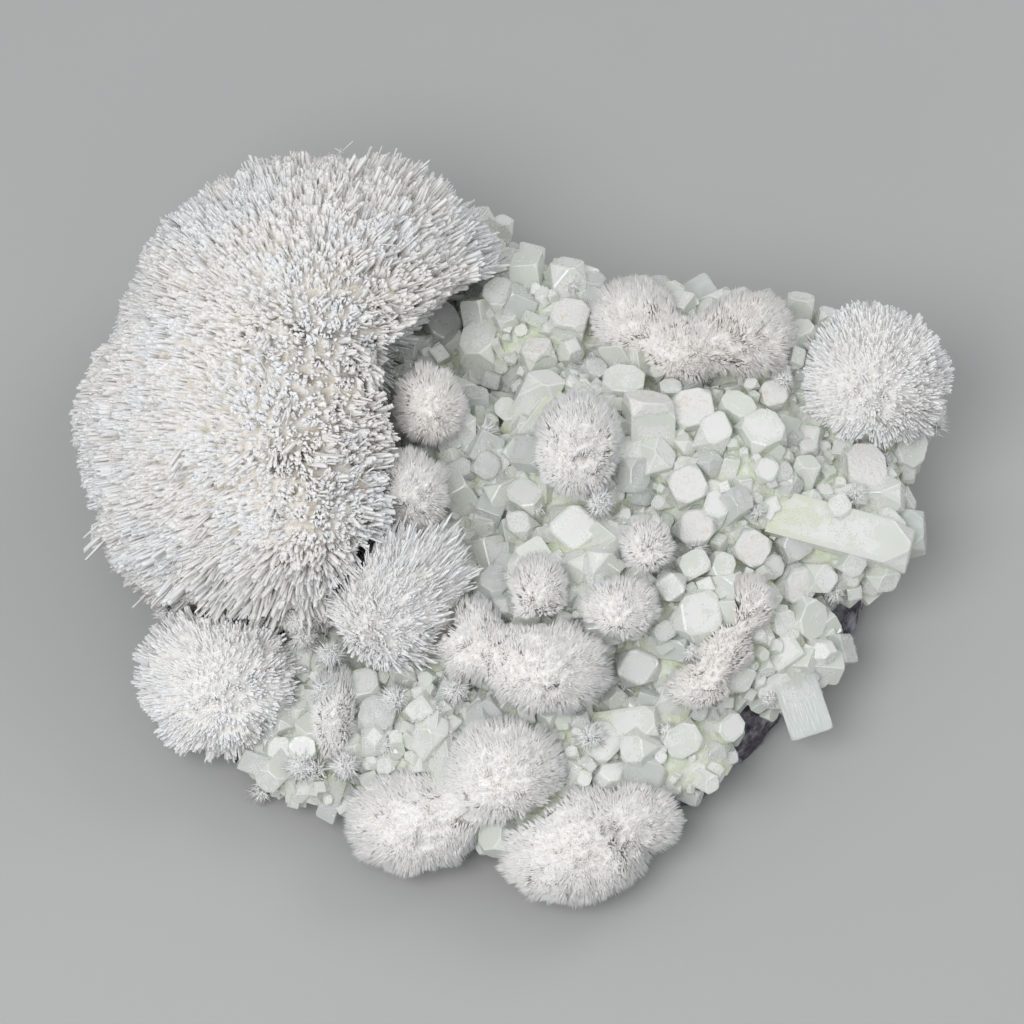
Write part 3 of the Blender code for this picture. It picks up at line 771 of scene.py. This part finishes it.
def pointed_needles(name, foot, end, width, facing, tone, draw):
    """Closed three-sided spikes, one for each needle."""
    count = len(foot)
    low, _ = needle_rings(foot, end, width, facing, 3, (0.8, 1.0), 1, 0, draw)
    first = np.arange(count)[:, None] * 4
    sides = (first + np.array([[0, 1, 3, 1, 2, 3, 2, 0, 3]])).reshape(-1, 3)
    points = np.concatenate([low, end[:, None]], axis=1).reshape(-1, 3) * MM
    mesh = mesh_from(name, points, sides, first + np.array([[2, 1, 0]]))
    side_map = []
    for number in range(3):
        side_map += [(number / 3, 0.2), ((number + 1) / 3, 0.2), ((number + 0.5) / 3, 1.0)]
    give_map(mesh, count, side_map, [(0.1, 0.18), (0.9, 0.18), (0.5, 0.02)])
    add_values(mesh, "along", np.tile([0.0, 0.0, 0.0, 1.0], count))
    add_values(mesh, "tone", np.repeat(tone, 4))
    return mesh


def needle_finish(name, tip, cream, root, shade_start, shade_end):
    """Mordenite: silky white, creamy in patches, with painted tan shade deep between the needles. The
    painted shade fades between two places along each needle, where 0 is its foot and 1 its end."""
    material, shader, place = new_finish(name, 0.45, IOR=1.48)
    tone = value_of(place, "tone")
    patch = (grain(place, 14.0) + (tone - 0.5) * 0.25).mask(0.35, 0.65)
    white = patch.blend(cream, tip)
    # Painted tan shade at the needles' feet, fading out towards their ends.
    unshaded = value_of(place, "along").mask(shade_start, shade_end)
    feed(shader, "Base Color", unshaded.blend(root, white))
    return material


def heart_mesh(node, bundles, depth, voxel, groove):
    """What the needles stand on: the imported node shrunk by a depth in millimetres. It rises and
    falls with their bundles, with a groove between them."""
    mesh = remeshed(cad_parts[node].data.copy(), voxel)
    middles, heights, near = bundles
    outward = np.array([entry.vector[:] for entry in mesh.vertex_normals])
    spots = points_of(mesh) / MM
    nearest = [near.find_n(spot, 2) for spot in spots]
    which = np.array([pair[0][1] for pair in nearest])
    gaps = np.array([pair[1][2] - pair[0][2] for pair in nearest])
    grooves = np.exp(-gaps / (0.3 * depth + 0.15))
    rise = heights[which] - depth - groove * grooves
    moved = spots + outward * rise[:, None]
    moved[:, 2] = np.maximum(moved[:, 2], 0.2)
    mesh.vertices.foreach_set("co", (moved * MM).astype(np.float32).ravel())
    add_values(mesh, "groove", grooves)
    mesh.shade_smooth()
    return mesh


def heart_finish(name, groove_shade, pale):
    """The fused feet of the needles: pale, with painted tan shade in the grooves."""
    material, shader, place = new_finish(name, 0.7)
    blotch = (grain(place, 0.7, 4.0) - 0.5) * 0.8
    # Painted tan shade in the grooves between the bundles.
    feed(shader, "Base Color", (value_of(place, "groove") + blotch).mask(0.1, 1.0).blend(pale, groove_shade))
    bumps(shader, grain(place, 0.4, 4.0), 0.3)
    return material


needle_white = needle_finish("white_mordenite", NEEDLE_TIP, NEEDLE_CREAM, NEEDLE_ROOT_SHADE, 0.45, 0.9)
heart_white = heart_finish("mordenite_heart", HEART_GROOVE_SHADE, HEART_PALE)

draw = np.random.default_rng(7)
bundles = bundle_places("great_spray", GREAT_BUNDLE, GREAT_UNEVEN, draw)
middles, heights, near = bundles
needles = bundled_needles(
    "great_spray", GREAT_FANS, bundles, GREAT_NEEDLE, GREAT_NEEDLE_WIDTHS, GREAT_NEEDLE_LENGTH,
    GREAT_STRAY, draw,
)
blades = bundled_needles(
    "great_spray", GREAT_FANS, (middles, heights - GREAT_BLADE_DROP, near), GREAT_BLADE,
    GREAT_BLADE_WIDTHS, GREAT_NEEDLE_LENGTH, GREAT_BLADE_STRAY, draw,
)
fringe = bundled_needles(
    "great_spray", GREAT_FANS, (middles, heights + FRINGE_REACH, near), FRINGE_NEEDLE,
    GREAT_NEEDLE_WIDTHS, GREAT_NEEDLE_LENGTH, FRINGE_STRAY, draw,
)
way = (fringe[1] - fringe[0]) / GREAT_NEEDLE_LENGTH
outer = (way[:, 0] > FRINGE_SIDE) | (way[:, 1] < -FRINGE_FRONT)
fringe = [part[outer] for part in fringe]
foot, end, width, facing, tone = (np.concatenate(parts) for parts in zip(needles, blades, fringe))
order = np.argsort(end[:, 1])
for number, part in enumerate(np.array_split(order, 2)):
    name = f"great_spray_needles_{number + 1}"
    mesh = prism_needles(
        name, foot[part], end[part], width[part], facing[part], tone[part],
        GREAT_NEEDLE_THICKNESS, 0.75, 0.3, draw,
    )
    put_down(name, mesh, needle_white, "white_needles", "great_spray")
heart = heart_mesh("great_spray", bundles, *GREAT_HEART)
put_down("great_spray_heart", heart, heart_white, "white_needles", "great_spray")

# Loose hairs that broke off and lie across it.
places, normals = sampled(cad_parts["great_spray"].data, HAIR_SPACING, draw)
upper = normals[:, 2] > HAIR_UPWARD
foot = places[upper] / MM + normals[upper]
way = np.cross(normals[upper], draw.normal(size=foot.shape)) + normals[upper] * HAIR_LIFT
end = foot + way / lengths_of(way) * draw.uniform(*HAIR_LENGTHS, (len(foot), 1))
width, tone = np.full(len(foot), HAIR_WIDTH), np.ones(len(foot))
mesh = prism_needles("stray_hairs", foot, end, width, way[:, ::-1], tone, (1, 1), 0.8, 0, draw)
put_down("stray_hairs", mesh, needle_white, "white_needles", "great_spray")


# Small sprays of mordenite.
# Balls and caps of finer needles sit on the crust and along the foot. Each has a root of its own
# under it. The oldest have the coarsest needles, and the creamy ones hold more clay.

# Roots of each spray's fans of needles.
SMALL_ROOTS = {
    "left_spray": [(-49, -24, 8)],
    "nestled_spray": [(-36, -15, 18)],
    "upper_ridge_spray": [(-14, 16, 33)],
    "lower_ridge_spray": [(-17, 0, 31)],
    "middle_spray": [(6, -28.5, 22), (-7, -22.5, 21)],
    "front_spray": [(-1, -44, 13), (-16.5, -49, 5)],
    "foot_spray": [(10, -54, 5), (20, -50, 8)],
    "bank_spray": [(-29.5, -31.5, 10)],
    "rim_spray": [(20.5, 33.5, 32), (29, 27, 32), (40.3, 30, 32)],
    "corner_spray": [(62, 25, 25)],
    "centre_spray": [(11, 7, 33)],
    "slope_spray": [(22.5, -10.5, 32)],
    "shelf_spray": [(18, -20.5, 28)],
    "bead_spray": [(4.5, -17.5, 28)],
    "slanting_spray": [(40, -17.5, 23), (35.5, -25, 21), (31, -30.5, 19)],
}
SMALL_BUNDLE, SMALL_NEEDLE = 1.9, 0.34
SMALL_NEEDLE_WIDTHS = (0.32, 0.65)
SMALL_NEEDLE_LENGTH = 2.6
SMALL_UNEVEN, SMALL_STRAY = 0.4, (0.6, 0.07)
SMALL_HEART = (1.7, 1.0, 0.25)
# Sprays with blunt needles, and how many times as coarse and as uneven those are.
BLUNT_SPRAYS = {"left_spray": 1.75, "corner_spray": 1.7}
BLUNT_THICKNESS = (0.5, 1.0)
CREAM_SPRAYS = ("nestled_spray", "upper_ridge_spray", "rim_spray", "slanting_spray")
FINE_TIP, FINE_BODY = (0.965, 0.965, 0.97), (0.96, 0.95, 0.94)
CREAM_TIP, CREAM_BODY = (0.96, 0.945, 0.92), (0.95, 0.92, 0.875)
# The fine needles' root colour is painted shade deep between them.
SMALL_ROOT_SHADE = (0.93, 0.91, 0.88)
# The fine hearts' dark colour is painted shade in their grooves.
SMALL_HEART_GROOVE_SHADE, SMALL_HEART_PALE = (0.86, 0.83, 0.79), (0.94, 0.93, 0.91)

small_root_shade = (SMALL_ROOT_SHADE, 0.4, 0.85)
small_white = needle_finish("fine_white_mordenite", FINE_TIP, FINE_BODY, *small_root_shade)
small_cream = needle_finish("fine_cream_mordenite", CREAM_TIP, CREAM_BODY, *small_root_shade)
small_heart = heart_finish("fine_mordenite_heart", SMALL_HEART_GROOVE_SHADE, SMALL_HEART_PALE)

for node, node_roots in SMALL_ROOTS.items():
    draw = np.random.default_rng(len(node))
    coarse = BLUNT_SPRAYS.get(node, 1)
    bundles = bundle_places(node, SMALL_BUNDLE, SMALL_UNEVEN * coarse, draw)
    foot, end, width, facing, tone = bundled_needles(
        node, [(root, root) for root in node_roots], bundles, SMALL_NEEDLE * coarse,
        SMALL_NEEDLE_WIDTHS, SMALL_NEEDLE_LENGTH * coarse**2, SMALL_STRAY, draw,
    )
    is_cream = node in CREAM_SPRAYS
    finish, slot = (small_cream, "cream_needles") if is_cream else (small_white, "white_needles")
    needles = (node + "_needles", foot, end, width * coarse, facing, tone)
    if node in BLUNT_SPRAYS:
        mesh = prism_needles(*needles, BLUNT_THICKNESS, 0.6, 0.3, draw)
    else:
        mesh = pointed_needles(*needles, draw)
    put_down(node + "_needles", mesh, finish, slot, node)
    put_down(node + "_heart", heart_mesh(node, bundles, *SMALL_HEART), small_heart, slot, node)


# Fan spray of mordenite.
# Long flat blades spread from one root beside the crust, free of one another at their ends.

FAN_ROOTS = [((-24, -16, 14), (-24, -16, 14))]
FAN_BUNDLE, FAN_BLADE = 1.8, 0.5
FAN_BLADE_WIDTHS, FAN_BLADE_THICKNESS = (0.45, 1.05), (0.5, 1.0)
FAN_BLADE_LENGTH = 12.0
FAN_UNEVEN, FAN_STRAY = 0.6, (0.8, 0.05)
# Some blades stand out further and stray more.
FAN_LONG_BLADE, FAN_LONG_REACH, FAN_LONG_STRAY = 1.1, 2.8, (1.6, 0.1)
FAN_HEART = (1.3, 0.9, 0.3)

draw = np.random.default_rng(21)
bundles = bundle_places("fan_spray", FAN_BUNDLE, FAN_UNEVEN, draw)
middles, heights, near = bundles
blades = bundled_needles(
    "fan_spray", FAN_ROOTS, bundles, FAN_BLADE, FAN_BLADE_WIDTHS, FAN_BLADE_LENGTH, FAN_STRAY, draw
)
long_blades = bundled_needles(
    "fan_spray", FAN_ROOTS, (middles, heights + FAN_LONG_REACH, near), FAN_LONG_BLADE,
    FAN_BLADE_WIDTHS, FAN_BLADE_LENGTH, FAN_LONG_STRAY, draw,
)
foot, end, width, facing, tone = (np.concatenate(parts) for parts in zip(blades, long_blades))
mesh = prism_needles(
    "fan_spray_blades", foot, end, width, facing, tone, FAN_BLADE_THICKNESS, 0.55, 0.9, draw
)
put_down("fan_spray_blades", mesh, small_white, "white_needles", "fan_spray")
heart = heart_mesh("fan_spray", bundles, *FAN_HEART)
put_down("fan_spray_heart", heart, small_heart, "white_needles", "fan_spray")


# Tufts of mordenite on the crust.
# Short needles in white tufts, no larger than a grain of rice, grew in the gaps between the
# crystals and over what shows of the rock between the sprays.

# Places of the larger tufts, and how far and with how many needles they stand out.
LARGE_TUFTS = [
    (-31.2, -30.0, 20), (-29.5, -35.5, 18), (-27.8, -42, 15.5), (-30.5, -23.9, 21), (-19.5, -31.4, 19.5),
    (-13.7, -33.9, 19), (-9.5, -30.3, 20.5), (-21.2, -38.3, 16.5), (-35.4, -40.5, 12.5), (14.7, -2, 34),
    (21.4, -14.5, 29), (29.6, -31.1, 21.5), (13, -37.9, 18.5), (-38.5, -16.5, 20.5), (-36, -17.5, 21.5),
    (-33.5, -16.5, 21.5), (-35, -19.5, 19.5),
]
LARGE_TUFT_REACH, LARGE_TUFT_COUNT, LARGE_TUFT_WAY = 3.4, 440, (0, -0.4, 0.9)
TUFT_SPACING = 15.0
# The tufts on rock that faces up at least this much.
ROCK_TUFT_SPACING, ROCK_TUFT_UPWARD = 6.5, 0.5
TUFT_REACH = (1.6, 3.4)
TUFT_COUNT = (90, 200)
TUFT_NEEDLE_WIDTHS = (0.25, 0.5)
TUFT_RISE = 1.8
# Painted shade at the feet of the tufts' needles.
TUFT_FOOT_SHADE = (0.90, 0.90, 0.86)


def tuft_needles(root, normal, reach, count, draw):
    """Feet, ends and widths of needles that stand out round a normal, in millimetres."""
    ways = normal * 0.6 + draw.normal(0, 0.6, (count, 3))
    ways /= lengths_of(ways)
    foot = root + draw.normal(0, reach * 0.15, (count, 3))
    end = foot + ways * reach * draw.uniform(0.6, 1.0, (count, 1))
    return foot, end, draw.uniform(*TUFT_NEEDLE_WIDTHS, count)


draw = np.random.default_rng(31)
tufts = []
hosts = list(bare_places(crust_mesh, matrix_tree, TUFT_SPACING, draw))
for spot, normal in bare_places(matrix_mesh, tree_of(crust_mesh), ROCK_TUFT_SPACING, draw):
    if normal[2] > ROCK_TUFT_UPWARD:
        hosts.append((spot - normal * TUFT_RISE * MM, normal))
for spot, normal in hosts:
    reach, count = draw.uniform(*TUFT_REACH), draw.integers(*TUFT_COUNT)
    if spot[2] < 1.5 * reach * MM:
        continue
    tufts.append(tuft_needles(spot / MM + normal * TUFT_RISE, normal, reach, count, draw))
for spot in LARGE_TUFTS:
    way = np.array(LARGE_TUFT_WAY)
    tufts.append(tuft_needles(np.array(spot), way, LARGE_TUFT_REACH, LARGE_TUFT_COUNT, draw))
foot, end, width = (np.concatenate(parts) for parts in zip(*tufts))
facing, tone = draw.normal(size=foot.shape), draw.random(len(foot))
mesh = pointed_needles("crust_tufts", foot, end, width, facing, tone, draw)
# The tufts' needles get painted shade at their feet, fading out halfway up.
tuft_white = needle_finish("tuft_mordenite", FINE_TIP, FINE_BODY, TUFT_FOOT_SHADE, 0.0, 0.5)
put_down("crust_tufts", mesh, tuft_white, "white_needles")


# Table and lights.
# The specimen lies on a pale table. Light comes softly from above the camera, as for a specimen
# photograph, and the camera looks down on it at 60 degrees.

CAMERA_RISE = math.radians(60)
CAMERA_TARGET = (0, 2, 24)
CAMERA_DISTANCE = 725
CAMERA_LENS, CAMERA_SENSOR = 150, 36
FLOOR_HALF = 2500
FLOOR_COLOUR = (0.42, 0.42, 0.415)
# Place, what it points at, width and power of each lamp.
LAMPS = [
    ((-210, -330, 620), (0, 0, 20), 420, 2.5),
    ((380, 260, 520), (0, 0, 20), 360, 0.7),
]
SKY_COLOUR, SKY_STRENGTH = (0.95, 0.97, 1.0), 0.56


def aimed(spot, target):
    """The pose of a lamp or a camera at a spot, looking at its target, both in millimetres."""
    spot, target = Vector(spot) * MM, Vector(target) * MM
    turn = (target - spot).to_track_quat("-Z", "Y").to_matrix().to_4x4()
    return Matrix.Translation(spot) @ turn


corners = np.array([(-1, -1, 0), (1, -1, 0), (1, 1, 0), (-1, 1, 0)]) * FLOOR_HALF * MM
floor = bpy.data.objects.new("table", mesh_from("table", corners, np.array([[0, 1, 2, 3]])))
bpy.context.scene.collection.objects.link(floor)
floor_finish, shader, place = new_finish("pale_table", 0.7)
feed(shader, "Base Color", grain(place, 60.0).blend(FLOOR_COLOUR, (0.44, 0.44, 0.435)))
floor.data.materials.append(floor_finish)

for number, (spot, target, size, power) in enumerate(LAMPS):
    lamp = bpy.data.lights.new(f"lamp_{number + 1}", "AREA")
    lamp.shape = "DISK"
    lamp.size = size * MM
    lamp.energy = power
    stand = bpy.data.objects.new(lamp.name, lamp)
    stand.matrix_world = aimed(spot, target)
    bpy.context.scene.collection.objects.link(stand)

sky = bpy.data.worlds.new("studio")
sky.use_nodes = True
sky.node_tree.nodes["Background"].inputs["Color"].default_value = (*SKY_COLOUR, 1)
sky.node_tree.nodes["Background"].inputs["Strength"].default_value = SKY_STRENGTH
bpy.context.scene.world = sky
bpy.context.scene.view_settings.view_transform = "Standard"

lens = bpy.data.cameras.new("camera")
lens.lens = CAMERA_LENS
lens.sensor_width = CAMERA_SENSOR
lens.clip_start, lens.clip_end = 0.05, 10
camera = bpy.data.objects.new("camera", lens)
back = Vector((0, -math.cos(CAMERA_RISE), math.sin(CAMERA_RISE))) * CAMERA_DISTANCE
camera.matrix_world = aimed(Vector(CAMERA_TARGET) + back, CAMERA_TARGET)
bpy.context.scene.collection.objects.link(camera)
bpy.context.scene.camera = camera
